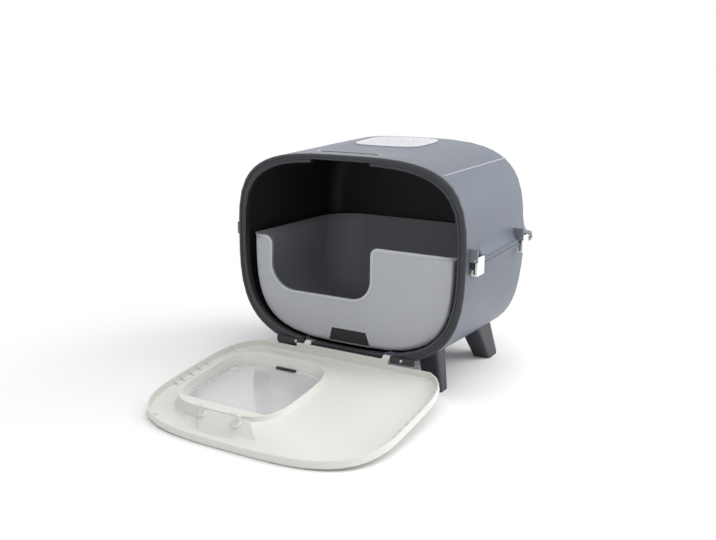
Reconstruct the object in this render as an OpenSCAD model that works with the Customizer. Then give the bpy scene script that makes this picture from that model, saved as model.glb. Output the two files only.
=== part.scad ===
// Raised, hooded litter box with a drop-down front door, a lift-out tray and a filtered roof vent.
// +X is to the right, the front faces -Y and +Z is up. The feet stand on z = 0.
// The door is drawn shut and then turned down to where it rests on the floor.

/* [Cabin] */
// Half width of the cabin at the seam, at the front rim
cabin_half_w = 254; // [220:1:290]
// Height of the seam between base and hood
seam_z = 272; // [260:1:290]
// Rise of the hood above the seam at the front rim
hood_rise = 181; // [150:1:200]
// Drop of the base below the seam at the front rim
base_drop = 219; // [200:1:225]
// Depth of the cabin at the seam
cabin_depth = 366; // [330:1:420]
// How far the back of the hood leans forward at its top
hood_back_lean = 19; // [0:1:40]
// How far the back of the base leans forward at its bottom
base_back_lean = 45; // [20:1:70]
// Wall of the moulded shells
wall = 3; // [2.4:0.1:4]
// Squareness of the hood's arch
hood_square = 3.5; // [2.6:0.1:4.5]
// Squareness of the base's arch
base_square = 3.1; // [2.6:0.1:4.5]
// Squareness of the base's arch at its back
base_square_back = 4.1; // [2.6:0.1:4.8]
// Narrowing of the cabin from front to back, as a share
cabin_taper = 0.035; // [0:0.005:0.06]
// Width of the front rim, seen from the front
rim_w = 17.5; // [12:0.5:22]

/* [Door] */
// Half width of the door
door_half_w = 246; // [220:1:250]
// Top edge of the shut door
door_top = 450.5; // [430:0.5:455]
// Bottom edge of the shut door
door_bottom = 55; // [50:1:60]
// Height of the wall round the door
door_wall_h = 15.2; // [12:0.1:16]
// Height of the hinge axis
hinge_z = 64.5; // [62:0.5:67]
// Slope of the open door
door_drop = 6.6; // [4:0.1:6.6]

/* [Entry] */
// Middle of the entry collar, across the door
entry_x = -72; // [-80:1:-60]
// Middle of the entry collar, up the shut door
entry_z = 271; // [265:1:280]
// Half width of the collar's crest
entry_half_w = 112; // [100:1:116]
// Half height of the collar's crest
entry_half_h = 115; // [100:1:118]
// Height of the crest above the outer skin
crest_h = 30; // [24:0.5:31]

/* [Tray] */
// Top edge of the tray
tray_top = 277; // [270:1:285]
// Underside of the tray
tray_bottom = 73; // [72.5:0.5:90]
// Front face of the tray, behind the rim's face
tray_front = 16; // [15.5:0.5:20]
// Depth of the tray
tray_depth = 338; // [300:1:340]
// Half width of the tray's front wall
tray_half_w = 224; // [210:1:228]

/* [Legs] */
// Length of a rear foot, front to back
leg_foot_l = 46; // [35:1:55]
// Width of a foot
leg_foot_w = 38; // [30:1:45]

/* [Hidden] */

$fn = 48;
e = 0.01;
hinge_y = 4;
door_gap = 0.8;
door_y = -door_wall_h - door_gap;
door_mid_z = seam_z;
door_edge = 0.8;
door_reach = (door_top - door_edge - hinge_z) * cos(door_drop)
  - (door_gap + hinge_y) * sin(door_drop) - hinge_y;
flange_out = 14;
flange_rib = 1.6;
flange_start = 59;
cabin_reach = cabin_depth + flange_out + flange_rib;
front_y = (door_reach - cabin_reach) / 2;

shell_dark = "#4a4f5a";
rim_dark = "#33363e";
tray_grey = "#a9acb3";
ivory = "#ebe8de";
clear_tint = "#dfe3e6";
clip_white = "#eceae6";
steel = "#9a9ea4";

// Radius of a superellipse arch at the angle t, with the half axes a and b
function arch_r(a, b, n, t) = 1 / pow(pow(abs(cos(t)) / a, n) + pow(abs(sin(t)) / b, n), 1 / n);
function arch(a, b, n, t) = arch_r(a, b, n, t) * [cos(t), sin(t)];

// Angles along half an arch, closer together at the seam and round the shoulder
half_angles = [0, 1, 2.4, 4.2, 8, 14, 21, 27, 31, 34.5, 38, 41.5, 45.5, 50, 57, 67, 78];
arch_angles = concat(half_angles, [90], [for (i = [len(half_angles) - 1:-1:0]) 180 - half_angles[i]]);

module at_cabin() translate([0, front_y, 0]) children();
module at_door() translate([0, front_y + hinge_y, hinge_z]) rotate([90 + door_drop, 0, 0])
  translate([0, -hinge_y, -hinge_z]) children();
// Extrudes an outline drawn in x and z from y0 back to y1
module slab(y0, y1) translate([0, y1, 0]) rotate([90, 0, 0]) linear_extrude(y1 - y0) children();

function reversed(v) = [for (i = [len(v) - 1:-1:0]) v[i]];
// Triangles between ring a and ring b of n points each
function strip(a, b, n, closed) = [for (j = [0:n - (closed ? 1 : 2)])
  let (k = (j + 1) % n) each [[a * n + j, a * n + k, b * n + k], [a * n + j, b * n + k, b * n + j]]];
// Skin through a run of rings that closes on itself
module torus_skin(rings) {
  m = len(rings);
  n = len(rings[0]);
  polyhedron([for (r = rings) each r], [for (i = [0:m - 1]) each strip((i + 1) % m, i, n, true)], 10);
}

// One half of the cabin. side is 1 for the hood and -1 for the base
function half_h(side) = side > 0 ? hood_rise : base_drop;
function half_n(side, y) = side > 0 ? hood_square
  : base_square + (base_square_back - base_square) * y / cabin_depth;
function back_lean(side) = side > 0 ? hood_back_lean : base_back_lean;
function half_w_at(y) = cabin_half_w * (1 - cabin_taper * y / cabin_depth);
function crown_at(side, y) = side > 0 ? 0.042 * y : 0;
flare_out = 13;
flare_h = 30;
function flare_at(y) = flare_out * max(0, min(1, (y - flange_start + 1) / 6));
function flare_share(z) = pow(max(0, 1 - z / flare_h), 2);
// Point on the skin: y measured at the seam, inset d from the outer arch, angle t
function skin_point(side, y, dx, dz, t, flare) =
  let (p = arch(half_w_at(y) - dx, half_h(side) + crown_at(side, y) - dz, half_n(side, y), t),
       lean = 1 - back_lean(side) / cabin_depth * p[1] / half_h(side),
       f = flare * flare_at(y) * flare_share(p[1]))
  [p[0] + sign(p[0]) * f, y * lean, seam_z + side * p[1]];
function skin_ring(side, s, flare) = [for (t = arch_angles) skin_point(side, s[0], s[1], s[2], t, flare)];

corner_z = 19;
function corner_x(side) = side > 0 ? 36 : 30;
function corner_y(side) = side > 0 ? 34 : 17;
// Rounded corner between the sides and the back, at the angle t and inset w
function corner(side, t, w) = [cabin_depth - corner_y(side) + (corner_y(side) - w) * sin(t),
  w + (corner_x(side) - w) * (1 - cos(t)), w + (corner_z - w) * (1 - cos(t))];
outer_corner_steps = [0, 30, 55, 75, 90];
inner_corner_steps = [90, 60, 30, 0];
outer_stations = [3.2, 40, flange_start - 1, flange_start + 5, 150, 240];
inner_stations = [230, 110];
function outer_run(side) = concat([for (y = outer_stations) [y, 0, 0]],
  [for (t = outer_corner_steps) corner(side, t, 0)]);
rim_back = 14;
// Front face of the rim from the inner edge out, with two raised beads
rim_face = [[rim_back, wall, wall], [rim_back, rim_w, rim_w], [1.6, rim_w, rim_w], [0, rim_w - 2, rim_w - 2],
  [0, rim_w - 5, rim_w - 5], [2, rim_w - 6, rim_w - 6], [2, 7, 7], [0, 6, 6], [0, 2.6, 2.6], [1, 0.8, 0.8]];
function inner_run(side) = concat([for (t = inner_corner_steps) corner(side, t, wall)],
  [for (y = inner_stations) [y, wall, wall]]);

module half_shell(side) {
  runs = concat([for (s = inner_run(side)) skin_ring(side, s, 0)], [for (s = rim_face) skin_ring(side, s, 0)],
    [for (s = outer_run(side)) skin_ring(side, s, 1)]);
  m = len(runs);
  n = len(arch_angles);
  last = m - 1;
  faces = concat(
    [for (i = [0:m - 2]) each strip(i, i + 1, n, false)],
    [[for (j = [n - 1:-1:0]) j]],
    [[for (j = [0:n - 1]) last * n + j]],
    [concat([for (i = [0:last]) i * n], [for (i = [last:-1:0]) i * n + n - 1])]);
  polyhedron([for (r = runs) each r], side > 0 ? faces : [for (f = faces) reversed(f)], 10);
}
// Solid between two flat ends, from rings of equal length. as_drawn turns its faces the right way out
module ring_block(rings, as_drawn) {
  m = len(rings);
  n = len(rings[0]);
  faces = concat([for (i = [0:m - 2]) each strip(i, i + 1, n, true)],
    [[for (j = [n - 1:-1:0]) j], [for (j = [0:n - 1]) (m - 1) * n + j]]);
  polyhedron([for (r = rings) each r], as_drawn ? faces : [for (f = faces) reversed(f)], 10);
}
// One half as a solid block, with its skin inset by d
module half_block(side, d, flare) ring_block([for (r = concat([[-1, 0, 0]], outer_run(side)))
  skin_ring(side, [r[0], r[1] + d, r[2] + d], flare)], side > 0);
// The hollow inside one half, behind the rim
module half_hollow(side) ring_block([for (r = concat(inner_run(side), [[rim_back, wall, wall]]))
  skin_ring(side, r, 0)], side < 0);

// Flange round the seam: along both sides and across the back
flange_low = 260;
rib_low = 4;
rib_high = 6.5;
flange_high = 275;
function plan_edge(out) = concat(
  [for (y = [flange_start, outer_stations[4], outer_stations[5]]) [half_w_at(y) + out, y]],
  [for (t = [0:15:90]) let (c = corner(-1, t, 0))
    [half_w_at(c[0]) - c[1] + out * cos(t), c[0] + out * sin(t)]]);
function mirror_x(pts) = [for (p = reversed(pts)) [-p[0], p[1]]];
module flange_band(z0, z1, out) {
  outer = plan_edge(out);
  inner = plan_edge(-1.5);
  translate([0, 0, z0]) linear_extrude(z1 - z0)
    difference() {
      polygon(concat(outer, mirror_x(outer)));
      polygon(concat(inner, mirror_x(inner)));
    }
}

hook_x = [-83, 97];
hook_w = 16;
pocket_w = hook_w + 12;
axis_pin_r = 3;
hook_r = 7;

pocket_h = 32;
pocket_d = 12.2;
module hinge_pockets() for (x = hook_x)
  translate([x - pocket_w / 2, -1, hinge_z - pocket_h / 2]) cube([pocket_w, pocket_d + 1, pocket_h]);

// Each moulded shell is kept as one mesh at its own size
module moulding() resize([0, 0, 0]) children();

module base_shell() color(shell_dark) at_cabin() moulding() difference() {
  union() {
    half_shell(-1);
    flange_band(flange_low, seam_z, flange_out);
    flange_band(flange_low + rib_low, flange_low + rib_high, flange_out + flange_rib);
  }
  hinge_pockets();
}

runner_x = 95;
runner_w = 6;
runner_y = [20, 270];
runner_gap = 0.3;
// Two ribs on the floor of the base, on which the tray slides
module tray_runners() color(shell_dark) at_cabin() intersection() {
  for (x = [-runner_x, runner_x]) translate([x - runner_w / 2, runner_y[0], 0])
    cube([runner_w, runner_y[1] - runner_y[0], tray_under(runner_x - runner_w / 2) - runner_gap]);
  half_hollow(-1);
}

module hood_shell() color(shell_dark) at_cabin() moulding() difference() {
  union() {
    half_shell(1);
    hood_flange();
  }
  vent_hole();
  vent_seat();
  rim_notch();
  roof_slot();
}

module hood_flange() flange_band(seam_z, flange_high, flange_out - 0.6);

rail_half = 158;
rail_y0 = -3;
rail_z0 = 60;
rail_z1 = 73;
lug_w = 3;
lug_l = 14;
lug_z = 10;
hook_play = 0.6;
screw_r = 1.6;
screw_z = hinge_z + 2;
// Rail with two gaps, in each a pin section between lugs
module hinge_rail() color(rim_dark) at_cabin() difference() {
  union() {
    difference() {
      translate([-rail_half, rail_y0, rail_z0]) cube([2 * rail_half, -rail_y0, rail_z1 - rail_z0]);
      for (x = hook_x) translate([x - hook_w / 2 - hook_play, rail_y0 - 1, rail_z0 - 1])
        cube([hook_w + 2 * hook_play, 2 - rail_y0, rail_z1 - rail_z0 + 2]);
    }
    for (x = hook_x, s = [-1, 1])
      translate([x + s * (hook_w / 2 + hook_play + lug_w / 2) - lug_w / 2, rail_y0, rail_z0])
        cube([lug_w, lug_l, lug_z]);
    for (x = hook_x) translate([x - hook_w / 2 - 2, hinge_y, hinge_z]) rotate([0, 90, 0])
      cylinder(r = axis_pin_r, h = hook_w + 4);
  }
  for (x = screw_x) translate([x, rail_y0 - 1, screw_z]) rotate([-90, 0, 0])
    cylinder(r = screw_r, h = 2 - rail_y0);
}
screw_x = [-112, 130];
module rail_screws() color(steel) at_cabin() for (x = screw_x) translate([x, 0, screw_z]) rotate([90, 0, 0]) {
  cylinder(r = screw_r, h = -rail_y0);
  translate([0, 0, -rail_y0]) cylinder(r1 = 2 * screw_r, r2 = 1.5 * screw_r, h = 1.2);
}

// Legs: tapered blocks that spread from the base to the floor, cut to the base's underside
leg_splay = 22;
leg_top_z = 118;
leg_spread_w = 8;
leg_pad = 6;
leg_round = 5;
module leg(foot, foot_l, y_top, top_l) color(rim_dark) at_cabin() difference() {
  hull() {
    translate([foot[0], foot[1], 0]) rounded_block(leg_foot_w, foot_l, leg_pad, leg_round);
    translate([foot[0] - sign(foot[0]) * leg_splay, y_top, leg_top_z])
      rounded_block(leg_foot_w + leg_spread_w, top_l, leg_pad, leg_round);
  }
  half_block(-1, 0, 0);
}
module rounded_block(w, l, h, r) linear_extrude(h) polygon([for (q = [0:3], t = [0:30:90]) let (a = 90 * q + 45)
  [sign(cos(a)) * (w / 2 - r) + r * cos(90 * q + t), sign(sin(a)) * (l / 2 - r) + r * sin(90 * q + t)]]);
front_foot = [177, 59];
front_foot_l = 30;
front_top_y = 68;
front_top_l = 46;
rear_foot = [183, 306];
rear_top_y = 254;
rear_top_l = 84;
module front_leg(s) leg([s * front_foot[0], front_foot[1]], front_foot_l, front_top_y, front_top_l);
module rear_leg(s) leg([s * rear_foot[0], rear_foot[1]], leg_foot_l, rear_top_y, rear_top_l);
module leg_front_left() front_leg(-1);
module leg_front_right() front_leg(1);
module leg_rear_left() rear_leg(-1);
module leg_rear_right() rear_leg(1);

// Tray: a trough with the cabin's section, a cut-out for the way in and a finger recess below
tray_square = 3.5;
tray_wall = 2.6;
tray_lean = 0.17;
tray_taper = 0.05;
tray_lip = 9;
tray_lip_h = 11;
// Radius and drop of the tray's back corners
tray_back_r = 74;
tray_back_drop = 30;
function tray_half_at(y) = tray_half_w * (1 - tray_taper * (y - tray_front) / tray_depth);
// Height of the tray's underside at the distance x from its middle
function tray_under(x) = tray_top
  - (tray_top - tray_bottom) * pow(1 - pow(x / tray_half_w, tray_square), 1 / tray_square);
function lip_share(z) = max(0, 1 - z / tray_lip_h);
function tray_ring(s) = [for (t = arch_angles)
  let (p = arch(tray_half_at(s[0]) - s[1], tray_top - tray_bottom - s[2], tray_square, t))
  [p[0] + sign(p[0]) * s[3] * lip_share(p[1]),
   tray_front + (s[0] - tray_front) * (1 - tray_lean * p[1] / (tray_top - tray_bottom)), tray_top - p[1]]];
module litter_tray() color(tray_grey) at_cabin() moulding() difference() {
  union() {
    tray_body();
    slab(tray_front - 0.6, tray_front + 4.6) cut_band();
  }
  slab(tray_front - 3, tray_front + 9) cut_outline(0);
  slab(tray_front - 3, tray_front + 4) finger_recess();
}
module tray_body() {
  y0 = tray_front;
  y1 = tray_front + tray_depth;
  w = tray_wall;
  r = tray_back_r;
  // Each station: y, inset of the sides, rise of the floor, width of the lip
  outer = concat(
    [[y0, 7, 9, 0], [y0 + 1.5, 2.6, 3.5, 0], [y0 + 6, 0, 0, 2]],
    [for (y = [12, 120, 230]) [y0 + y, 0, 0, tray_lip]],
    [for (t = [0, 25, 45, 62, 77, 90])
      [y1 - r + r * sin(t), r * (1 - cos(t)), tray_back_drop * (1 - cos(t)), tray_lip * cos(t)]]);
  inner = concat(
    [for (t = [90, 70, 45, 20, 0]) [y1 - r + (r - w) * sin(t), w + (r - w) * (1 - cos(t)),
      w + (tray_back_drop - w) * (1 - cos(t)), tray_lip * cos(t)]],
    [[y0 + 120, w, w, tray_lip], [y0 + 14, w, w, tray_lip], [y0 + 8, w, w, 2]],
    [[y0 + w + 1.5, w + 2.6, w + 3.5, 0], [y0 + w, w + 7, w + 9, 0]]);
  rings = concat([for (s = outer) tray_ring(s)], [for (s = inner) tray_ring(s)]);
  n = len(arch_angles);
  a = len(outer);
  m = len(rings);
  faces = concat(
    [for (i = [0:a - 2]) each strip(i, i + 1, n, false)],
    [for (i = [a:m - 2]) each strip(i, i + 1, n, false)],
    [[for (j = [n - 1:-1:0]) j]],
    [[for (j = [0:n - 1]) (a - 1) * n + j]],
    [[for (j = [n - 1:-1:0]) a * n + j]],
    [[for (j = [0:n - 1]) (m - 1) * n + j]],
    tray_rim_faces(n, a, m), tray_wall_tops(n, a, m));
  polyhedron([for (ring = rings) each ring], [for (f = faces) reversed(f)], 10);
}
// Flat top of the rim: quads from each outer ring's ends to the matching inner ring's ends
function tray_rim_faces(n, a, m) = [for (side = [0, n - 1]) let (
  outer = [for (i = [0:a - 1]) i * n + side], inner = [for (i = [a:m - 1]) i * n + side],
  edge = concat(outer, inner)) side == 0 ? edge : reversed(edge)];
// Top faces of the front wall and the back wall
function tray_wall_tops(n, a, m) = [[(m - 1) * n, m * n - 1, n - 1, 0],
  [a * n - 1, (a + 1) * n - 1, a * n, (a - 1) * n]];

cut_left = -190;
cut_right = 42;
cut_floor = 168.5;
// Outline of the cut-out, drawn in x and z, grown by g. Each bend is an arc
function arc_pts(c, r, t0, t1, k) = [for (i = [0:k])
  let (t = t0 + (t1 - t0) * i / k) c + r * [cos(t), sin(t)]];
cut_over = 20;
brink_right = [cut_right + 24, 16];
brink_left = [cut_left - 8, 18];
bend_right = [cut_right - 34, 42];
bend_left = [cut_left + 62, 54];
band_w = 5;
module cut_outline(g) polygon(cut_pts(g));
function cut_pts(g) = concat(
  [[brink_right[0], tray_top + cut_over]],
  arc_pts([brink_right[0], tray_top - brink_right[1]], brink_right[1] - g + e, 90, 180, 6),
  arc_pts([bend_right[0], cut_floor + bend_right[1]], bend_right[1] + g, 0, -90, 8),
  arc_pts([bend_left[0], cut_floor + bend_left[1]], bend_left[1] + g, -90, -172, 10),
  arc_pts([brink_left[0], tray_top - brink_left[1]], brink_left[1] - g + e, 0, 90, 6),
  [[brink_left[0], tray_top + cut_over]]);
module cut_band() polygon(concat(cut_pts(band_w), reversed(cut_pts(0))));
recess_x = [[-46, 58], [-37, 41]];
recess_z = [tray_bottom - 12, 104];
module finger_recess() polygon([for (c = [[0, 0], [0, 1], [1, 1], [1, 0]])
  [recess_x[c[0]][c[1]], recess_z[c[0]]]]);

// Door, drawn shut
ring_steps = 72;
function door_outline(d, t) = let (up = sin(t) > 0)
  arch(door_half_w - d, (up ? door_top - door_mid_z : door_mid_z - door_bottom) - d, up ? 3.3 : 4.4, t);
function door_ring(d, h) = [for (i = [0:ring_steps - 1]) let (p = door_outline(d, 360 * i / ring_steps))
  [p[0], door_y + h, door_mid_z + p[1]]];
low_wall_z = 74;
function wall_ring(d, h) = [for (i = [0:ring_steps - 1]) let (p = door_outline(d, 360 * i / ring_steps),
  z = door_mid_z + p[1]) [p[0], door_y + (z < low_wall_z ? min(h, 3) : h), z]];
// Ring round the entry, grown by grow, at the height h above the outer skin
function entry_ring(grow, h, n = 3.7, dz = 0, dh = 0) = [for (i = [0:ring_steps - 1])
  let (p = arch(entry_half_w + grow, entry_half_h + grow - dh, n, 360 * i / ring_steps))
  [entry_x + p[0], door_y + h, entry_z + dz + p[1]]];
// The mound runs out gently to the right and down, and steeply to the left and up
function steep(i) = let (t = 360 * i / ring_steps) max(0, min(1, (t - 78) / 20, (198 - t) / 20));
function mix(a, b, w) = a * (1 - w) + b * w;
function blend_ring(s, h) = let (a = entry_ring(4, 0), b = door_ring(12, 0)) [for (i = [0:ring_steps - 1])
  let (w = steep(i), k = mix(s[0], s[1], w))
  [mix(a[i][0], b[i][0], k), door_y + mix(h[0], h[1], w), mix(a[i][2], b[i][2], k)]];
skin_t = 2.8;
throat_h = 7.6;
throat_in = 3;
throat_dz = -5;
throat_dh = 15.5;
throat_n = 4;
lip_in = 2.4;
function throat_ring(grow, h) = entry_ring(grow - throat_in, h, throat_n, throat_dz, throat_dh);
function mound_rings() = [entry_ring(2.4, crest_h), entry_ring(5, crest_h - 8),
  blend_ring([0.35, 0.16], [12.6, 10]), blend_ring([0.75, 0.42], [5.2, 3.9]), door_ring(12, skin_t)];
// Everything below the door's inner face, as a solid
module below_inner_face() ring_block(reversed(concat(mound_rings(), [door_ring(12, -14)])), true);
brow_z = 366;
brow_t = 2.6;
module door_panel() color(ivory) at_door() moulding() union() {
  torus_skin(concat(
    [throat_ring(-lip_in, throat_h - lip_in), throat_ring(-lip_in, throat_h), throat_ring(0, throat_h),
     entry_ring(0, crest_h)],
    mound_rings(),
    [door_ring(4, skin_t + 0.6), wall_ring(2.8, door_wall_h), wall_ring(door_edge, door_wall_h),
     wall_ring(0, 2.4), door_ring(1.8, 0), blend_ring([0.78, 0.45], [0.6, 0.6]), blend_ring([0.33, 0.15], [9.8, 7.2]),
     entry_ring(3.4, crest_h - 10), entry_ring(2, crest_h - 4), throat_ring(lip_in, throat_h - lip_in)]));
  hinge_wall();
  brow();
  for (t = rib_angles) edge_rib(t);
}
// Flat brow across the top of the collar
module brow() slab(door_y + crest_h - brow_t, door_y + crest_h) intersection() {
  entry_shape(0.5);
  translate([entry_x - entry_half_w, brow_z]) square([2 * entry_half_w, entry_half_h]);
}
module entry_shape(grow) polygon([for (p = entry_ring(grow, 0)) [p[0], p[2]]]);
hinge_wall_z = 77;
hinge_wall_t = 2.5;
hinge_wall_half = 196;
tall_wall_half = 104;
tall_wall_h = 24;
module hinge_wall() for (w = [[hinge_wall_half, door_wall_h], [tall_wall_half, tall_wall_h]])
  translate([-w[0], door_y + 1, hinge_wall_z]) cube([2 * w[0], w[1] - 1, hinge_wall_t]);
// Where the gussets stand round the door, from the right side counterclockwise
rib_angles = [-43.5, -15.8, -10.2, -4.6, 1.5, 6, 25.6, 42.2, 61.3,
  125.5, 143.5, 174, 178.5, 184.6, 190.2, 195.8, 212.4];
rib_t = 2;
rib_l = 16;
// Gusset between the door's edge wall and its face, square to the outline at the angle t
module edge_rib(t) {
  p = door_outline(2.2, t);
  q = door_outline(0, t + 1) - door_outline(0, t - 1);
  translate([p[0], door_y, door_mid_z + p[1]]) rotate([0, -atan2(q[1], q[0]), 0])
    translate([-rib_t / 2, 0, 0]) rotate([90, 0, 90]) linear_extrude(rib_t)
      polygon([[skin_t - 1, 0], [door_wall_h - 2.4, 0], [skin_t - 1, rib_l]]);
}

hook_neck = 8;
module door_hooks() color(ivory) at_door() for (x = hook_x) difference() {
  union() {
    translate([x - hook_w / 2, hinge_y, hinge_z]) rotate([0, 90, 0]) cylinder(r = hook_r, h = hook_w);
    translate([x - hook_w / 2, hinge_y - hook_neck / 2, hinge_z])
      cube([hook_w, hook_neck, hinge_wall_z - hinge_z]);
  }
  translate([x - hook_w / 2 - 1, hinge_y, hinge_z]) rotate([0, 90, 0])
    cylinder(r = axis_pin_r + 0.1, h = hook_w + 2);
}

// Wedge that falls from the collar's crest to the door's face
latch_top = [390, 29];
latch_foot = [422, 3.4];
latch_x = [[-102, 6], [-83, 45]];
latch_depth = 14;
latch_slope = atan2(latch_top[1] - latch_foot[1], latch_foot[0] - latch_top[0]);
module door_latch_housing() color(ivory) at_door() difference() {
  polyhedron(concat(latch_quad(0), latch_quad(-latch_depth)),
    [[0, 1, 2, 3], [7, 6, 5, 4], [1, 0, 4, 5], [2, 1, 5, 6], [3, 2, 6, 7], [0, 3, 7, 4]], 4);
  below_inner_face();
}
// The wedge's sloping face, moved by dh
function latch_quad(dh) = [for (c = [[0, 0], [0, 1], [1, 1], [1, 0]])
  let (end = c[0] == 0 ? latch_top : latch_foot) [latch_x[c[0]][c[1]], door_y + end[1] + dh, end[0]]];
lug_h = 3.5;
// Latch lugs on the wedge: x, width, distance down the slope, length
lugs = [[-97, 14, 6, 11], [-22, 16, 7, 15]];
module latch_lugs() color(ivory) at_door()
  translate([0, door_y + latch_top[1], latch_top[0]]) rotate([-latch_slope, 0, 0])
    for (l = lugs) translate([l[0], 0, l[2]]) cube([l[1], lug_h, l[3]]);

flap_t = 2.2;
flap_frame_t = 3.2;
flap_frame_w = 5;
flap_h = throat_h + 0.4;
flap_z = entry_z + throat_dz;
throat_half_h = entry_half_h - throat_in - throat_dh;
flap_half_w = entry_half_w - throat_in - 2.4;
flap_half_h = throat_half_h - 0.8;
// The flap's top edge passes inside the collar's lip
flap_top_h = throat_half_h - lip_in - 0.6;
pivot_z = flap_z + flap_top_h - 5.5;
pivot_y = door_y + flap_h + flap_t / 2 + 1.6;
pin_r = 2;
pin_x = [60, 79];
bearing_x = [72.5, 86];
bearing_half = 4;
corner_gap = 1.3;
corner_drop = 7.2;
// Outline of the flap, inset by d, with its upper corners cut out round the bearings
module flap_outline(d) difference() {
  polygon([for (i = [0:ring_steps - 1]) let (t = 360 * i / ring_steps, half_h = t < 180 ? flap_top_h : flap_half_h,
    p = arch(flap_half_w - d, half_h - d, throat_n, t)) [entry_x + p[0], flap_z + p[1]]]);
  for (s = [0, 1]) translate([entry_x, 0]) mirror([s, 0])
    translate([bearing_x[0] - corner_gap - d, pivot_z - corner_drop - d]) square(flap_half_w);
}
module pivot_bar(r, x0, x1) for (s = [-1, 1])
  translate([entry_x + s * x0, pivot_y, pivot_z]) rotate([0, s * 90, 0]) cylinder(r = r, h = x1 - x0);
module flap_window() color(clear_tint, 0.4) at_door() difference() {
  slab(door_y + flap_h, door_y + flap_h + flap_t) flap_outline(flap_frame_w);
  pivot_bar(pin_r, pin_x[0], pin_x[1]);
}
module flap_frame() color(clear_tint) at_door() difference() {
  slab(door_y + flap_h, door_y + flap_h + flap_frame_t) difference() {
    flap_outline(0);
    flap_outline(flap_frame_w);
  }
  pivot_bar(pin_r, pin_x[0], pin_x[1]);
}
module flap_pins() color("#c9ccd0") at_door() pivot_bar(pin_r, pin_x[0], pin_x[1]);
// Bearing blocks against the collar's throat
module flap_bearings() color(ivory) at_door() difference() {
  intersection() {
    translate([entry_x, 0, 0]) for (s = [0, 1]) mirror([s, 0, 0])
      translate([bearing_x[0], door_y + throat_h, pivot_z - bearing_half])
        cube([bearing_x[1] - bearing_x[0], pivot_y + bearing_half - door_y - throat_h, 2 * bearing_half]);
    ring_block([entry_ring(0, crest_h), throat_ring(0, throat_h)], false);
  }
  pivot_bar(pin_r + 0.08, bearing_x[0] - 1, bearing_x[1] + 1);
}
magnet_size = [45, 3.5, 6];
magnet_x = -18;
module flap_magnet() color("#17181b") at_door()
  translate([entry_x + magnet_x, door_y + flap_h + flap_frame_t, flap_z - flap_half_h + 0.5])
    cube(magnet_size);
strike_size = [32, 2, 3];
strike_z = flap_z - throat_half_h + lip_in + 0.006;
module flap_strike() color("#2a2b2f") at_door()
  translate([entry_x - strike_size[0] / 2, door_y + throat_h - lip_in + 0.1, strike_z]) cube(strike_size);

vent_y = 218;
vent_w = 152;
vent_l = 148;
vent_tilt = 2.6;
vent_seat_z = 461.6;
module vent_frame() translate([0, vent_y, vent_seat_z]) rotate([vent_tilt, 0, 0]) children();
module at_vent() at_cabin() vent_frame() children();
function squircle(a, b, n) = [for (t = [0:7.5:352.5]) arch(a, b, n, t)];
// Outline inside the vent's edge, at the distance d from it
module vent_inside(d, n) polygon(squircle(vent_w / 2 - d, vent_l / 2 - d, n));
module vent_hole() vent_frame() translate([0, 0, -30]) linear_extrude(60) vent_inside(8, 5);
// Shallow flat seat in the roof for the vent cover
module vent_seat() vent_frame() linear_extrude(10) vent_inside(-1, 4);
vent_holes = 9;
vent_pitch = 13;
vent_hole_r = 3;
vent_lift = 0.4;
vent_plate = 2.6;
skirt_out = 8.4;
skirt_in = 10.6;
skirt_h = 12;
pad_h = 8;
retainer_h = 2;
module vent_cover() color("#c5c8cc") at_vent() union() {
  translate([0, 0, vent_lift]) linear_extrude(vent_plate) difference() {
    vent_inside(0, 4);
    for (i = [0:vent_holes - 1], j = [0:vent_holes - 1])
      translate(vent_pitch * [i - (vent_holes - 1) / 2, j - (vent_holes - 1) / 2])
        circle(r = vent_hole_r, $fn = 6);
  }
  translate([0, 0, -skirt_h]) linear_extrude(skirt_h + vent_lift + e) difference() {
    vent_inside(skirt_out, 5);
    vent_inside(skirt_in, 5);
  }
}
module filter_pad() color("#3a3c40") at_vent() translate([0, 0, vent_lift - pad_h]) linear_extrude(pad_h)
  vent_inside(skirt_in + 0.3, 5);
retainer_cell = [30, 29];
retainer_bar = 4;
module filter_retainer() color("#c5c8cc") at_vent() translate([0, 0, vent_lift - pad_h - retainer_h])
  linear_extrude(retainer_h) difference() {
    vent_inside(skirt_in, 5);
    for (i = [-1.5:1:1.5], j = [-1.5:1:1.5]) translate([i * retainer_cell[0], j * retainer_cell[1]])
      square([retainer_cell[0] - retainer_bar, retainer_cell[1] - retainer_bar], true);
  }

notch_x = -11;
notch_w = 132;
notch_h = 8;
module rim_notch() translate([notch_x - notch_w / 2, -1, hood_rise + seam_z - rim_w - 2])
  cube([notch_w, rim_back + 2, notch_h]);
slot_x = -10;
slot_half = 64;
slot_y = 35;
slot_w = 9;
module roof_slot() translate([slot_x, slot_y, seam_z + hood_rise - 10])
  linear_extrude(30) slot_outline(slot_half, slot_w);
module slot_outline(half, w) polygon(concat(
  [for (t = [-90:15:90]) [half - w / 2 + w / 2 * cos(t), w / 2 * sin(t)]],
  [for (t = [90:15:270]) [-half + w / 2 + w / 2 * cos(t), w / 2 * sin(t)]]));
latch_bar_sink = 0.8;
// Bar in the slot, held from below by its wider foot
module roof_latch_bar() color(rim_dark) at_cabin() {
  intersection() {
    roof_prism(slot_half, slot_w);
    half_block(1, latch_bar_sink, 0);
  }
  intersection() {
    roof_prism(slot_half + 4, slot_w + 8);
    half_block(1, wall, 0);
  }
}
module roof_prism(half, w) translate([slot_x, slot_y, seam_z + hood_rise - 9])
  linear_extrude(14) slot_outline(half, w);
pin_out = 5;
module roof_latch_pins() color("#d9dbde") at_cabin() difference() {
  for (s = [-1, 1]) translate([slot_x + s * (slot_half + pin_out), slot_y, seam_z + hood_rise - 4])
    cylinder(r = 2.6, h = 6.2);
  half_block(1, 0, 0);
}

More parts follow.
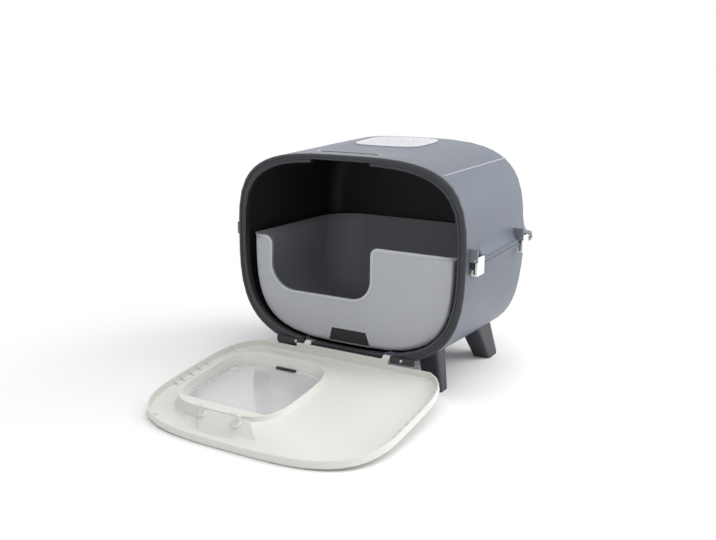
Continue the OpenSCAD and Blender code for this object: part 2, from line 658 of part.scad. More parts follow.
// Side clips
clip_w = 35;
clip_y = [40, 287];
clip_x = 264;
clip_top = 276.5;
clip_low = 246;
clip_t = 4;
clip_head_r = 3.2;
clip_pin_r = 1.6;
clip_axis_x = clip_x + 1.5;
// The clip's foot turns in under the flange and up behind its edge
hook_in = 7;
hook_t = 3;
hook_tip = 2.4;
hook_up = 11;
// Rod along the axis of the clip at y, on the right side
module clip_rod(r, y, past) translate([clip_axis_x, y - clip_w / 2 - past, clip_top]) rotate([-90, 0, 0])
  cylinder(r = r, h = clip_w + 2 * past);
module on_side(side) mirror([side > 0 ? 0 : 1, 0, 0]) children();
module clip(side, y) color(clip_white) at_cabin() on_side(side) difference() {
  union() {
    translate([clip_x, y - clip_w / 2, clip_low]) cube([clip_t, clip_w, clip_top - clip_low]);
    clip_rod(clip_head_r, y, 0);
    translate([clip_x - hook_in, y - clip_w / 2, clip_low]) cube([hook_in + 1, clip_w, hook_t]);
    translate([clip_x - hook_in, y - clip_w / 2, clip_low]) cube([hook_tip, clip_w, hook_up]);
  }
  clip_rod(clip_pin_r + 0.08, y, 1);
}
module clip_front_left() clip(-1, clip_y[0]);
module clip_front_right() clip(1, clip_y[0]);
module clip_rear_left() clip(-1, clip_y[1]);
module clip_rear_right() clip(1, clip_y[1]);
module clip_pins() color(steel) at_cabin()
  for (side = [-1, 1], y = clip_y) on_side(side) clip_rod(clip_pin_r, y, 5);
ear_t = 4.8;
ear_gap = 0.4;
// Ears that hold the pins: a tall one in front of each clip and a low one behind it
ear_tops = [297, 280.5];
ear_from = [-clip_w / 2 - ear_gap - ear_t, clip_w / 2 + ear_gap];
ear_foot = seam_z + 0.5;
ear_past = 6;
module clip_brackets() color("#7f848c") at_cabin() difference() {
  for (side = [-1, 1], y = clip_y, i = [0, 1]) on_side(side)
    translate([half_w_at(y) - 0.5, y + ear_from[i], ear_foot])
      cube([clip_x + ear_past - half_w_at(y), ear_t, ear_tops[i] - ear_foot]);
  for (side = [-1, 1], y = clip_y) on_side(side) clip_rod(clip_pin_r, y, 6);
  half_block(1, 0, 1);
  hood_flange();
}
keeper_out = 8;
keeper_h = 11.5;
// Ledges for the front clips, where the flange hasn't begun
module clip_keepers() color(rim_dark) at_cabin() difference() {
  for (side = [-1, 1]) on_side(side)
    translate([half_w_at(clip_y[0]) - wall, clip_y[0] - clip_w / 2, flange_low])
      cube([keeper_out + wall, clip_w, keeper_h]);
  half_block(-1, 0, 1);
}

base_shell();
hood_shell();
hinge_rail();
rail_screws();
leg_front_left();
leg_front_right();
leg_rear_left();
leg_rear_right();
tray_runners();
litter_tray();
door_panel();
door_hooks();
door_latch_housing();
latch_lugs();
flap_window();
flap_frame();
flap_pins();
flap_bearings();
flap_magnet();
flap_strike();
vent_cover();
filter_pad();
filter_retainer();
roof_latch_bar();
roof_latch_pins();
clip_brackets();
clip_keepers();
clip_pins();
clip_front_left();
clip_front_right();
clip_rear_left();
clip_rear_right();
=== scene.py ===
# %% [markdown]
# # A hooded litter box in the studio
# The solids of the box come in as a frame: every named part sits where it belongs and keeps its shape.
# This script dresses them. It rounds the edges, gives each kind of plastic its own procedural material,
# adds the thin details that the solids leave out, and sets a pale floor, soft lights and a camera.

import math

import bpy
from mathutils import Matrix, Vector


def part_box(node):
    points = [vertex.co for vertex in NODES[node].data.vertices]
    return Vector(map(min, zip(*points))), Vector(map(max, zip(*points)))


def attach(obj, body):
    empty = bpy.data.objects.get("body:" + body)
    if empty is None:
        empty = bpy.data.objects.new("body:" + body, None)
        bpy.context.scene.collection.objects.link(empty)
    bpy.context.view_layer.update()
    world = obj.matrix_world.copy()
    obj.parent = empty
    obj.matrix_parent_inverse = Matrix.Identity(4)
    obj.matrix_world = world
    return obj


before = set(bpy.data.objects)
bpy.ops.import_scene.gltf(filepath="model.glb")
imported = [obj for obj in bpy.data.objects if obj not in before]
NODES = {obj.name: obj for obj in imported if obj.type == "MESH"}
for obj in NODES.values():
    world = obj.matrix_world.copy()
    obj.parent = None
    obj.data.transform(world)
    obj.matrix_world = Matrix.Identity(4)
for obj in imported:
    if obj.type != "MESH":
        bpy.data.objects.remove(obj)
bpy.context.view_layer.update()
MM = 0.001
RAIL_AHEAD_OF_RIM = 3 * MM
FRONT_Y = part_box("hinge_rail")[0].y + RAIL_AHEAD_OF_RIM
print("parts in the frame:", len(NODES))
print("front rim plane at y =", round(FRONT_Y, 5), "m")


# %% [markdown]
# ## Rounded edges
# A moulded part has no knife edges. The solids could carry the rounding, but modifiers do it faster and
# leave the solids as they are. The meshes arrive with split corners, so each one is first welded, then its
# sharp edges get a small bevel, and the faces between them are shaded smooth.


# %% Edges
WELD_DISTANCE = 0.00001
SHARP_ANGLE = math.radians(34)
EDGE_SEGMENTS = 2
FACE_WEIGHT = 80
COMMON_EDGE = 0.5
EDGE_WIDTH = {
    "base_shell": 0.7,
    "hood_shell": 0.7,
    "litter_tray": 1.0,
    "door_panel": 0.8,
    "door_hooks": 0.8,
    "vent_cover": 0.4,
    "flap_window": 0.4,
    "flap_frame": 0.4,
}


def soften(part, width_mm):
    """Welds a part, rounds its sharp edges and shades it smooth."""
    for face in part.data.polygons:
        face.use_smooth = True
    if "custom_normal" in part.data.attributes:
        part.data.attributes.remove(part.data.attributes["custom_normal"])
    weld = part.modifiers.new("weld", "WELD")
    weld.merge_threshold = WELD_DISTANCE
    bevel = part.modifiers.new("edge", "BEVEL")
    bevel.width = width_mm * MM
    bevel.segments = EDGE_SEGMENTS
    bevel.limit_method = "ANGLE"
    bevel.angle_limit = SHARP_ANGLE
    bevel.use_clamp_overlap = True
    bevel.harden_normals = True
    normals = part.modifiers.new("normals", "WEIGHTED_NORMAL")
    normals.keep_sharp = True
    normals.weight = FACE_WEIGHT


for node_name in NODES:
    soften(NODES[node_name], EDGE_WIDTH.get(node_name, COMMON_EDGE))
print("softened", len(NODES), "parts")


# %% [markdown]
# ## Shader building blocks
# Plastic is never one flat value, and painted pictures could carry its small changes. Nodes are used here,
# because they need no unwrapping and stay sharp from near by. These helpers add and link one node each.


# %% Shader helpers
def new_group(name, inputs, outputs):
    """Makes a node group. An input is its label, kind and value, an output its label and kind."""
    tree = bpy.data.node_groups.new(name, "ShaderNodeTree")
    for label, kind, value in inputs:
        socket = tree.interface.new_socket(label, in_out="INPUT", socket_type=kind)
        socket.default_value = value
    for label, kind in outputs:
        tree.interface.new_socket(label, in_out="OUTPUT", socket_type=kind)
    return tree, tree.nodes.new("NodeGroupInput"), tree.nodes.new("NodeGroupOutput")


def use_group(tree, group, values):
    """Places a group in a material, with its own values."""
    node = tree.nodes.new("ShaderNodeGroup")
    node.node_tree = group
    for label, value in values.items():
        node.inputs[label].default_value = value
    return node


def operate(tree, kind, operation, *values):
    """Adds a Math or Vector Math node, links the values to its inputs and gives back its outputs."""
    node = tree.nodes.new(kind)
    node.operation = operation
    for socket, value in zip(node.inputs, values):
        tree.links.new(value, socket)
    return node.outputs


def map_range(tree, value, low, high, to_low=0.0, to_high=1.0, smooth=False):
    """Stretches low to high of a value over another range."""
    node = tree.nodes.new("ShaderNodeMapRange")
    node.interpolation_type = "SMOOTHSTEP" if smooth else "LINEAR"
    limits = {"From Min": low, "From Max": high, "To Min": to_low, "To Max": to_high}
    for label, number in limits.items():
        node.inputs[label].default_value = number
    tree.links.new(value, node.inputs["Value"])
    return node.outputs["Result"]


def mix(tree, kind, factor, first, second):
    """Blends two colours (RGBA) or two numbers (FLOAT), each a socket or a value."""
    node = tree.nodes.new("ShaderNodeMix")
    node.data_type = kind
    tree.links.new(factor, node.inputs["Factor"])
    for label, value in (("A", first), ("B", second)):
        if isinstance(value, bpy.types.NodeSocket):
            tree.links.new(value, node.inputs[label])
        else:
            node.inputs[label].default_value = value
    return node.outputs["Result"]


def noise(tree, inlet, detail, roughness):
    """Adds a noise in the part's own coordinates, in the size that the group's Scale gives."""
    coords = tree.nodes.new("ShaderNodeTexCoord")
    node = tree.nodes.new("ShaderNodeTexNoise")
    node.inputs["Detail"].default_value = detail
    node.inputs["Roughness"].default_value = roughness
    tree.links.new(coords.outputs["Object"], node.inputs["Vector"])
    tree.links.new(inlet.outputs["Scale"], node.inputs["Scale"])
    return node.outputs["Fac"]


print("shader helpers:", [f.__name__ for f in (new_group, use_group, operate, map_range, mix, noise)])


# %% [markdown]
# ## Grain and mottle
# The tool that moulds a plastic part leaves a fine grain on it, and a large face is never quite one colour.
# Both are noises. The grain is too shallow to model, so it is a bump. The mottle mixes two close colours, and
# puts its mask out as well, so that the gloss can follow it.


# %% Grain and mottle
GRAIN_DEPTH = 0.0004


def grain_group():
    tree, inlet, outlet = new_group(
        "Moulded Grain",
        [("Scale", "NodeSocketFloat", 900.0), ("Strength", "NodeSocketFloat", 0.1)],
        [("Normal", "NodeSocketVector")],
    )
    bump = tree.nodes.new("ShaderNodeBump")
    bump.inputs["Distance"].default_value = GRAIN_DEPTH
    tree.links.new(noise(tree, inlet, 2.0, 0.6), bump.inputs["Height"])
    tree.links.new(inlet.outputs["Strength"], bump.inputs["Strength"])
    tree.links.new(bump.outputs["Normal"], outlet.inputs["Normal"])
    return tree


def mottle_group():
    tree, inlet, outlet = new_group(
        "Slow Mottle",
        [
            ("Colour A", "NodeSocketColor", (0.5, 0.5, 0.5, 1)),
            ("Colour B", "NodeSocketColor", (0.6, 0.6, 0.6, 1)),
            ("Scale", "NodeSocketFloat", 12.0),
        ],
        [("Colour", "NodeSocketColor"), ("Mask", "NodeSocketFloat")],
    )
    mask = map_range(tree, noise(tree, inlet, 4.0, 0.55), 0.3, 0.7)
    colour = mix(tree, "RGBA", mask, inlet.outputs["Colour A"], inlet.outputs["Colour B"])
    tree.links.new(colour, outlet.inputs["Colour"])
    tree.links.new(mask, outlet.inputs["Mask"])
    return tree


GRAIN = grain_group()
MOTTLE = mottle_group()
print("surface groups:", [g.name for g in bpy.data.node_groups])


# %% [markdown]
# ## Painted shade on the shell
# The front band of the rim and the hollow of the box get little light and look darker than its outside, so that
# darkness is painted on as shade. Each shell is one solid, so its faces can't simply get another material by
# name. Instead a third group works out from the position and the normal where a point lies: near the front
# plane, or turned to the middle of the box.


# %% Painted shade on the shell
RIM_SHADE_BAND = (0.0035, 0.0045)
MIDDLE_DEPTH = 0.16
TURNED_INWARD = (-0.1, 0.02)


# The two masks say where shade is painted: the front band of the rim, and the faces turned to the middle of the
# box.
def shade_mask_group():
    tree, inlet, outlet = new_group(
        "Painted Shade On The Shell",
        [("Front", "NodeSocketFloat", 0.0), ("Middle Height", "NodeSocketFloat", 0.272)],
        [("Rim Shade", "NodeSocketFloat"), ("Inside", "NodeSocketFloat")],
    )
    coords = tree.nodes.new("ShaderNodeTexCoord")
    position = coords.outputs["Object"]
    split = tree.nodes.new("ShaderNodeSeparateXYZ")
    tree.links.new(position, split.inputs["Vector"])
    depth = operate(tree, "ShaderNodeMath", "SUBTRACT", split.outputs["Y"], inlet.outputs["Front"])["Value"]
    rim = map_range(tree, depth, *RIM_SHADE_BAND, 1.0, 0.0, smooth=True)
    tree.links.new(rim, outlet.inputs["Rim Shade"])
    middle = tree.nodes.new("ShaderNodeCombineXYZ")
    middle.inputs["Y"].default_value = MIDDLE_DEPTH
    tree.links.new(inlet.outputs["Middle Height"], middle.inputs["Z"])
    vector_math = "ShaderNodeVectorMath"
    outward = operate(tree, vector_math, "SUBTRACT", position, middle.outputs["Vector"])["Vector"]
    unit = operate(tree, vector_math, "NORMALIZE", outward)["Vector"]
    facing = operate(tree, vector_math, "DOT_PRODUCT", unit, coords.outputs["Normal"])["Value"]
    inside = map_range(tree, facing, *TURNED_INWARD, 1.0, 0.0, smooth=True)
    tree.links.new(inside, outlet.inputs["Inside"])
    return tree


SHADE_MASKS = shade_mask_group()
print("place group:", SHADE_MASKS.name)


# %% [markdown]
# ## Plastics
# The shells, the tray, the door and the small fittings are different plastics. Each could have a material of
# its own making, but one recipe with other numbers keeps them alike and is easy to change: two close colours
# mixed by the mottle, a roughness that follows it a little, and the grain as bump.


# %% Materials
INSIDE_ROUGHNESS = 0.62
SHELL_MIDDLE = 0.272
TRAY_MIDDLE = 0.24


def set_shader(material, values):
    """Sets plain values on the material's own shader."""
    for label, value in values.items():
        material.node_tree.nodes["Principled BSDF"].inputs[label].default_value = value


def plastic(name, colour, spread, rough, grain, bump, mottle, specular=0.5):
    """Makes one plastic from the recipe. Spread is how far the two colours lie to each side."""
    material = bpy.data.materials.new(name)
    material.use_nodes = True
    set_shader(material, {"Specular IOR Level": specular})
    tree = material.node_tree
    shader = tree.nodes["Principled BSDF"]
    dark = (*[c * (1 - spread) for c in colour], 1)
    light = (*[min(1, c * (1 + spread)) for c in colour], 1)
    colours = use_group(tree, MOTTLE, {"Colour A": dark, "Colour B": light, "Scale": mottle})
    texture = use_group(tree, GRAIN, {"Scale": grain, "Strength": bump})
    gloss = map_range(tree, colours.outputs["Mask"], 0.0, 1.0, *rough)
    tree.links.new(colours.outputs["Colour"], shader.inputs["Base Color"])
    tree.links.new(gloss, shader.inputs["Roughness"])
    tree.links.new(texture.outputs["Normal"], shader.inputs["Normal"])
    return material


def paint_shade_by_place(material, rim_shade_colour, inside_shade_colour, middle):
    """Paints shade: makes the inside darker and more matt, and the front band darker too if it is given a
    colour.

    This follows the look of the photograph. It isn't known that the plastic itself differs there.
    """
    tree = material.node_tree
    shader = tree.nodes["Principled BSDF"]
    colour = shader.inputs["Base Color"].links[0].from_socket
    gloss = shader.inputs["Roughness"].links[0].from_socket
    place = use_group(tree, SHADE_MASKS, {"Front": FRONT_Y, "Middle Height": middle})
    inside = place.outputs["Inside"]
    if rim_shade_colour:
        colour = mix(tree, "RGBA", place.outputs["Rim Shade"], colour, (*rim_shade_colour, 1))
    colour = mix(tree, "RGBA", inside, colour, (*inside_shade_colour, 1))
    tree.links.new(colour, shader.inputs["Base Color"])
    gloss = mix(tree, "FLOAT", inside, gloss, INSIDE_ROUGHNESS)
    tree.links.new(gloss, shader.inputs["Roughness"])


SHELL = plastic("shell_charcoal", (0.112, 0.130, 0.165), 0.05, (0.33, 0.42), 1400.0, 0.12, 9.0)
TRIM = plastic("trim_dark", (0.026, 0.028, 0.034), 0.06, (0.4, 0.5), 1500.0, 0.1, 16.0)
TRAY = plastic("tray_grey", (0.455, 0.47, 0.50), 0.03, (0.38, 0.46), 1200.0, 0.06, 7.0)
DOOR = plastic("door_ivory", (0.72, 0.715, 0.68), 0.02, (0.32, 0.4), 1000.0, 0.05, 8.0)
WHITE = plastic("clip_white", (0.78, 0.775, 0.75), 0.02, (0.25, 0.32), 1500.0, 0.04, 20.0)
VENT = plastic("vent_grey", (0.60, 0.60, 0.625), 0.04, (0.45, 0.55), 1500.0, 0.1, 20.0)
FELT = plastic("filter_felt", (0.05, 0.052, 0.055), 0.2, (0.9, 1.0), 500.0, 0.8, 60.0, 0.2)
BRACKET = plastic("bracket_grey", (0.16, 0.172, 0.19), 0.05, (0.4, 0.5), 1500.0, 0.08, 20.0)
MAGNET = plastic("magnet_black", (0.008, 0.008, 0.009), 0.2, (0.3, 0.45), 1500.0, 0.1, 30.0)
STEEL = plastic("pin_steel", (0.55, 0.56, 0.58), 0.05, (0.22, 0.32), 2500.0, 0.05, 40.0)
CLEAR = plastic("clear_acrylic", (0.95, 0.96, 0.97), 0.01, (0.03, 0.05), 300.0, 0.01, 6.0)
# Painted shade: the shell's front band and hollow, and the inside of the tray, get darker colours than their
# plastic.
paint_shade_by_place(SHELL, (0.030, 0.032, 0.040), (0.014, 0.014, 0.016), SHELL_MIDDLE)
paint_shade_by_place(TRAY, None, (0.27, 0.28, 0.305), TRAY_MIDDLE)
set_shader(STEEL, {"Metallic": 1.0})
set_shader(CLEAR, {"Transmission Weight": 0.62, "IOR": 1.49})
print("materials:", [m.name for m in bpy.data.materials])


# %% [markdown]
# ## Dressing the parts
# Every part is moulded in one plastic, so it gets one material. A table by material shows at a glance what
# belongs together, which a list of parts would not.


# %% Dressing
DRESS = (
    (SHELL, ("base_shell", "hood_shell", "tray_runners")),
    (TRIM, ("hinge_rail", "roof_latch_bar", "clip_keepers")),
    (TRIM, ("leg_front_left", "leg_front_right", "leg_rear_left", "leg_rear_right")),
    (TRAY, ("litter_tray",)),
    (DOOR, ("door_panel", "door_hooks", "door_latch_housing", "latch_lugs", "flap_bearings")),
    (CLEAR, ("flap_window", "flap_frame")),
    (MAGNET, ("flap_magnet",)),
    (STEEL, ("rail_screws", "flap_pins", "flap_strike", "clip_pins")),
    (VENT, ("vent_cover", "filter_retainer")),
    (FELT, ("filter_pad",)),
    (BRACKET, ("clip_brackets",)),
    (WHITE, ("clip_front_left", "clip_front_right", "clip_rear_left", "clip_rear_right", "roof_latch_pins")),
)
dressed = 0
for material, node_names in DRESS:
    for node_name in node_names:
        NODES[node_name].data.materials.clear()
        NODES[node_name].data.materials.append(material)
        dressed += 1
print("dressed", dressed, "of", len(NODES), "parts")


# %% [markdown]
# ## Skins from rings
# Some forms are too thin or too fine for the solids. They could be curves with a bevel, but a skin joined
# from rings gives each one the exact outline that it needs. Points are given in mm, from the plane of the rim.


# %% Skins from rings
def from_front(x, y, z):
    """Takes a point in mm, with y measured back from the rim's plane, to metres in the frame."""
    return Vector((x * MM, y * MM + FRONT_Y, z * MM))


def skin_piece(name, rings, material, body, smooth=False):
    """Joins the rings into one closed skin that rides on a body."""
    count = len(rings[0])
    faces = []
    for i in range(len(rings) - 1):
        for j in range(count):
            k = (j + 1) % count
            faces.append((i * count + j, i * count + k, (i + 1) * count + k, (i + 1) * count + j))
    faces.append(tuple(range(count - 1, -1, -1)))
    faces.append(tuple((len(rings) - 1) * count + j for j in range(count)))
    mesh = bpy.data.meshes.new(name)
    mesh.from_pydata([tuple(v) for ring in rings for v in ring], [], faces)
    if smooth:
        for face in mesh.polygons:
            face.use_smooth = True
    mesh.materials.append(material)
    piece = bpy.data.objects.new(name, mesh)
    bpy.context.scene.collection.objects.link(piece)
    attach(piece, body)
    return piece


print("a point on the rim's plane:", [round(v, 4) for v in from_front(0, 0, 0)])


# %% [markdown]
# ## The tray's bead
# The front wall of the tray ends in a rolled bead, which edges its cut-out and its top. Swept along the arcs of
# the cut-out, a low half-round follows it closely. It is coloured paler than the tray, a painted highlight
# along its top edge.


# %% Tray bead
TRAY_TOP = 277
BEAD_HALF = 3.2
BEAD_OUT = 0.7
BEAD_Y = 15.4
BEAD_STEPS = 8
BEAD_ROOT = Vector((0, 1, 0))
# Each corner of the cut-out: its centre, its radius, on which side of the arc the bead lies, the two
# angles it runs between and its steps.
CUT_CORNERS = (
    ((66, TRAY_TOP - 16), 16, -1, 90, 180, 8),
    ((8, 210.5), 42, 1, 0, -90, 12),
    ((-128, 222.5), 54, 1, -90, -172, 14),
    ((-198, TRAY_TOP - 18), 18, -1, 10, 80, 7),
)


def arc(centre, radius, start, end, steps):
    """Gives the points of an arc in the front plane, between two angles in degrees."""
    angles = [math.radians(start + (end - start) * i / steps) for i in range(steps + 1)]
    return [(centre[0] + radius * math.cos(a), centre[1] + radius * math.sin(a)) for a in angles]


bead_z = TRAY_TOP - BEAD_HALF
cut_edge = [(221, bead_z), (150, bead_z)]
for centre, radius, side, start, end, steps in CUT_CORNERS:
    cut_edge += arc(centre, radius + side * BEAD_HALF, start, end, steps)
cut_edge.append((-219, bead_z))


def bead_ring(i):
    """Gives the outline of the bead at one point of the cut edge, square to it."""
    before, after = cut_edge[max(0, i - 1)], cut_edge[min(len(cut_edge) - 1, i + 1)]
    along = Vector((after[0] - before[0], 0, after[1] - before[1])).normalized()
    across = Vector((-along.z, 0, along.x)) * BEAD_HALF
    middle = Vector((cut_edge[i][0], BEAD_Y, cut_edge[i][1]))
    ring = []
    for step in range(BEAD_STEPS + 1):
        swing = math.pi * step / BEAD_STEPS
        ring.append(middle + across * math.cos(swing) + Vector((0, -BEAD_OUT * math.sin(swing), 0)))
    ring += [middle - across + BEAD_ROOT, middle + across + BEAD_ROOT]
    return [from_front(*v) for v in ring]


# Painted highlight: the bead is coloured lighter than the tray's own grey.
BEAD_HIGHLIGHT = plastic("tray_bead", (0.52, 0.535, 0.565), 0.03, (0.34, 0.42), 1200.0, 0.05, 7.0)
bead = skin_piece("tray_bead", [bead_ring(i) for i in range(len(cut_edge))], BEAD_HIGHLIGHT, "tray", smooth=True)
print("bead:", bead.name, "of", len(cut_edge), "rings")


# %% [markdown]
# ## Shoulder creases
# A fine pale line runs back along the shoulder of the hood. It could be a line in the colour, but then it
# would catch no light, so it is a low raised bead that lies on the curve of the shell. The bead is also
# coloured much paler than the shell, a painted highlight along the crease.


# %% Shoulder creases
HOOD_HALF_WIDTH = 254
HOOD_RISE = 181
HOOD_DEPTH = 366
SEAM_Z = 272
ARCH_POWER = 3.5
WIDTH_TAPER = 0.035
RISE_SLOPE = 0.042
BACK_LEAN = 19
CREASE_FRONT = 14
CREASE_LENGTH = 326
CREASE_ANGLE = 37.75
CREASE_TURN = 0.85
CREASE_STEPS = 12
# Across the crease: the angle from its middle in degrees, and the height over the shell in mm.
CREASE_PROFILE = ((-0.22, -0.6), (-0.22, 0.1), (0, 0.35), (0.22, 0.1), (0.22, -0.6))


def shoulder_point(y, angle_deg, out):
    """Gives a point of the hood's skin, at an angle above the seam, moved out by some mm."""
    half_w = HOOD_HALF_WIDTH * (1 - WIDTH_TAPER * y / HOOD_DEPTH) + out
    rise = HOOD_RISE + RISE_SLOPE * y + out
    t = math.radians(angle_deg)
    flat = (abs(math.cos(t)) / half_w) ** ARCH_POWER + (math.sin(t) / rise) ** ARCH_POWER
    radius = 1 / flat ** (1 / ARCH_POWER)
    x, z = radius * math.cos(t), radius * math.sin(t)
    return from_front(x, y * (1 - BACK_LEAN / HOOD_DEPTH * z / HOOD_RISE), SEAM_Z + z)


def crease_ring(side, y, angle):
    """Gives the outline of a crease at one depth, on the left (-1) or the right (1) shoulder."""
    ring = [shoulder_point(y, angle + turn_by, out) for turn_by, out in CREASE_PROFILE]
    return [Vector((side * v.x, v.y, v.z)) for v in ring]


# Painted highlight: the crease is coloured far paler than the shell's plastic.
CREASE_HIGHLIGHT = plastic("crease_painted_highlight", (0.42, 0.44, 0.48), 0.05, (0.3, 0.4), 1400.0, 0.05, 9.0)
shares = [i / CREASE_STEPS for i in range(CREASE_STEPS + 1)]
shoulder = [(CREASE_FRONT + CREASE_LENGTH * s, CREASE_ANGLE + CREASE_TURN * s) for s in shares]
creases = []
for label, side in (("left", -1), ("right", 1)):
    rings = [crease_ring(side, y, angle) for y, angle in shoulder]
    creases.append(skin_piece("crease_" + label, rings, CREASE_HIGHLIGHT, "cabin", smooth=True))
print("creases:", [piece.name for piece in creases])


# %% [markdown]
# ## Latch lugs
# The door's latch has two round lugs on its slope. Each is a short disc with a softened edge. It is easiest to
# place on the shut door, so its points are laid out there and then turned down with the door.


# %% Latch lugs
DOOR_DROP = math.radians(6.6)
DOOR_TURN = Matrix.Rotation(math.radians(90) + DOOR_DROP, 3, "X")
HINGE = Vector((0, 4, 64.5))
SLOPE_TOP = (390, 29)
SLOPE_FOOT = (422, 3.4)
DOOR_SKIN_Y = -16
LUG_HEIGHT = 3.4
LUG_STEPS = 28
# Up the lug: the height over the slope in mm, and the share of the radius there.
LUG_PROFILE = ((-2, 1), (LUG_HEIGHT - 0.9, 1), (LUG_HEIGHT - 0.2, 0.93), (LUG_HEIGHT, 0.82))


def on_open_door(point):
    """Takes a point of the shut door, in mm, to where the door rests open."""
    return from_front(*(DOOR_TURN @ (point - HINGE) + HINGE))


def lug(name, x, down, radius):
    """Makes a lug at x, some mm down the slope from its top."""
    fall = Vector((0, SLOPE_FOOT[1] - SLOPE_TOP[1], SLOPE_FOOT[0] - SLOPE_TOP[0])).normalized()
    outward = Vector((0, fall.z, -fall.y))
    centre = Vector((x, DOOR_SKIN_Y + SLOPE_TOP[1], SLOPE_TOP[0])) + fall * down
    rings = []
    for lift, size in LUG_PROFILE:
        ring = []
        for step in range(LUG_STEPS):
            angle = math.tau * step / LUG_STEPS
            spoke = Vector((1, 0, 0)) * math.cos(angle) + fall * math.sin(angle)
            ring.append(on_open_door(centre + outward * lift + spoke * radius * size))
        rings.append(ring)
    return skin_piece(name, rings, WHITE, "door")


lugs = [lug("lug_left", -90, 10, 7.2), lug("lug_right", -14, 12, 8.2)]
print("lugs:", [piece.name for piece in lugs])


# %% [markdown]
# ## Finger pocket
# Low in its front wall the tray has a recess for the fingers, which looks black because it lies in shade. In
# the solids it is a hole, through which the pale inside of the tray would show. A thin plate behind it gives
# it a back, coloured near black as painted shade.


# %% Finger pocket
POCKET_CORNERS = ((-46, 78.4), (58, 78.4), (44.5, 104.6), (-40.5, 104.6))
POCKET_MIDDLE_Z = 91.5
POCKET_SPARE = 1.2


def pocket_ring(y):
    """Gives the outline of the recess, a little larger all round, at a depth behind the rim's plane."""
    ring = []
    for x, z in POCKET_CORNERS:
        wider = x + math.copysign(POCKET_SPARE, x)
        taller = z + math.copysign(POCKET_SPARE, z - POCKET_MIDDLE_Z)
        ring.append(from_front(wider, y, taller))
    return ring


# Painted shade: the plate is near black, where the recess would be the tray's grey in shadow.
POCKET_SHADE = plastic("pocket_painted_shade", (0.012, 0.012, 0.014), 0.2, (0.6, 0.7), 900.0, 0.1, 30.0)
pocket = skin_piece("finger_pocket", [pocket_ring(18), pocket_ring(20)], POCKET_SHADE, "tray")
print("pocket:", pocket.name)


# %% [markdown]
# ## Floor and backdrop
# The box stands in an empty white space and casts a soft shadow. A white floor alone would show its edge
# against the backdrop. So the floor is pale near the box, where it keeps the shadow, and far from it it
# glows white for the camera and meets the white world without a line.


# %% Floor and backdrop
FLOOR_HALF = 14.0
GLOW_STARTS = 0.44
GLOW_IS_FULL = 0.85
WORLD_STRENGTH = 0.5


def white_to_the_eye(tree, surface, share=None):
    """Adds a white glow that the camera, mirrors and clear plastic see, but that lights no matt face."""
    path = tree.nodes.new("ShaderNodeLightPath")
    seen = path.outputs["Is Camera Ray"]
    for label in ("Is Glossy Ray", "Is Transmission Ray"):
        seen = operate(tree, "ShaderNodeMath", "MAXIMUM", seen, path.outputs[label])["Value"]
    if share is not None:
        seen = operate(tree, "ShaderNodeMath", "MULTIPLY", seen, share)["Value"]
    glow = tree.nodes.new("ShaderNodeEmission")
    mixed = tree.nodes.new("ShaderNodeMixShader")
    tree.links.new(seen, mixed.inputs["Fac"])
    tree.links.new(surface, mixed.inputs[1])
    tree.links.new(glow.outputs["Emission"], mixed.inputs[2])
    return mixed.outputs["Shader"]


def floor():
    """Lays the floor, whose glow grows with the distance from the middle of the scene."""
    mesh = bpy.data.meshes.new("studio_floor")
    corners = [(x * FLOOR_HALF, y * FLOOR_HALF, 0) for x, y in ((-1, -1), (1, -1), (1, 1), (-1, 1))]
    mesh.from_pydata(corners, [], [(0, 1, 2, 3)])
    ground = bpy.data.objects.new("studio_floor", mesh)
    bpy.context.scene.collection.objects.link(ground)
    material = bpy.data.materials.new("studio_white")
    material.use_nodes = True
    set_shader(material, {"Base Color": (0.96, 0.96, 0.96, 1), "Roughness": 0.7, "Specular IOR Level": 0.1})
    tree = material.node_tree
    coords = tree.nodes.new("ShaderNodeTexCoord")
    distance = operate(tree, "ShaderNodeVectorMath", "LENGTH", coords.outputs["Object"])["Value"]
    far = map_range(tree, distance, GLOW_STARTS, GLOW_IS_FULL, smooth=True)
    surface = white_to_the_eye(tree, tree.nodes["Principled BSDF"].outputs["BSDF"], far)
    tree.links.new(surface, tree.nodes["Material Output"].inputs["Surface"])
    mesh.materials.append(material)


floor()
world = bpy.data.worlds.new("studio_world")
bpy.context.scene.world = world
world.use_nodes = True
backdrop = world.node_tree.nodes["Background"]
backdrop.inputs["Color"].default_value = (1, 1, 1, 1)
backdrop.inputs["Strength"].default_value = WORLD_STRENGTH
seen_world = white_to_the_eye(world.node_tree, backdrop.outputs["Background"])
world.node_tree.links.new(seen_world, world.node_tree.nodes["World Output"].inputs["Surface"])
print("floor and", world.name, "made")


# %% [markdown]
# ## Lamps
# A wide soft light hangs above the box, a second one stands to its right and behind it and gives the side its
# sheen, and a weak one fills the front. Small lamps would throw hard shadows, so each is a large square.


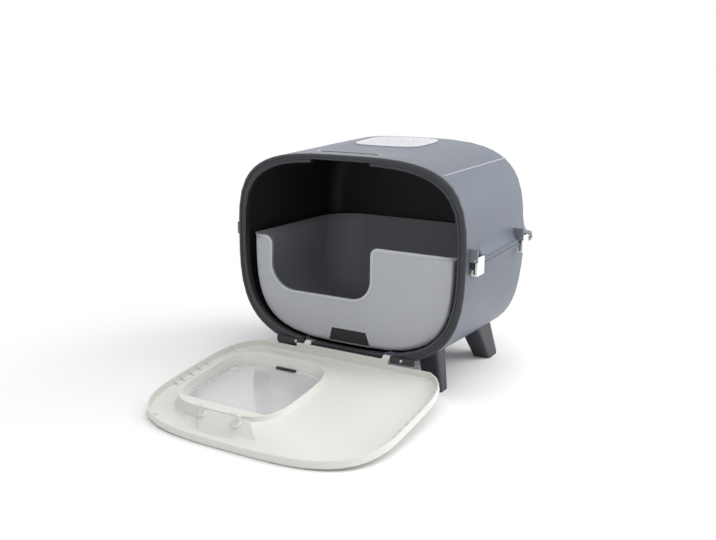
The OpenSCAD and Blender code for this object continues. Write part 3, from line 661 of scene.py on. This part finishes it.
# %% Lamps
def soft_light(name, place, target, size, watts):
    """Hangs a square lamp at a place and turns it to a target."""
    lamp = bpy.data.lights.new(name, "AREA")
    lamp.shape = "RECTANGLE"
    lamp.size = lamp.size_y = size
    lamp.energy = watts
    holder = bpy.data.objects.new(name, lamp)
    holder.location = place
    aim = Vector(target) - Vector(place)
    holder.rotation_euler = aim.to_track_quat("-Z", "Y").to_euler()
    bpy.context.scene.collection.objects.link(holder)


soft_light("key_above", (0.3, -0.1, 2.6), (0, 0, 0.2), 2.6, 40)
soft_light("sheen_right", (2.2, 1.3, 1.5), (0, 0.1, 0.25), 2.2, 50)
soft_light("front_fill", (1.4, -2.6, 1.4), (0, -0.1, 0.2), 1.8, 6)


# %% [markdown]
# ## Camera
# The camera stands to the right of the box, above it, and looks down at it. Its place and angles were fitted
# to the photograph, so it is turned by its own axes, not aimed at a target. Its focal length is given for a
# picture 716 wide and 540 high.

# %% Camera
CAMERA_AT = Vector((829.6 * MM, FRONT_Y - 1405.4 * MM, 617.7 * MM))
YAW = math.radians(29.575)
PITCH = math.radians(13.351)
ROLL = math.radians(0.532)
FOCAL_PX = 860
PICTURE_W = 716
SENSOR_W = 36
CLIP_END = 60

forward = Vector((-math.sin(YAW) * math.cos(PITCH), math.cos(YAW) * math.cos(PITCH), -math.sin(PITCH)))
level = Vector((math.cos(YAW), math.sin(YAW), 0))
up = level.cross(forward)
right = math.cos(ROLL) * level + math.sin(ROLL) * up
top = -math.sin(ROLL) * level + math.cos(ROLL) * up
turn = Matrix((right, top, -forward)).transposed()
lens = bpy.data.cameras.new("camera")
lens.sensor_width = SENSOR_W
lens.sensor_fit = "HORIZONTAL"
lens.lens = FOCAL_PX / PICTURE_W * SENSOR_W
lens.clip_end = CLIP_END
camera = bpy.data.objects.new("camera", lens)
camera.matrix_world = Matrix.Translation(CAMERA_AT) @ turn.to_4x4()
bpy.context.scene.collection.objects.link(camera)
bpy.context.scene.camera = camera
bpy.context.scene.view_settings.view_transform = "Standard"
print("camera at", [round(v, 3) for v in CAMERA_AT], "lens", round(lens.lens, 2), "mm")
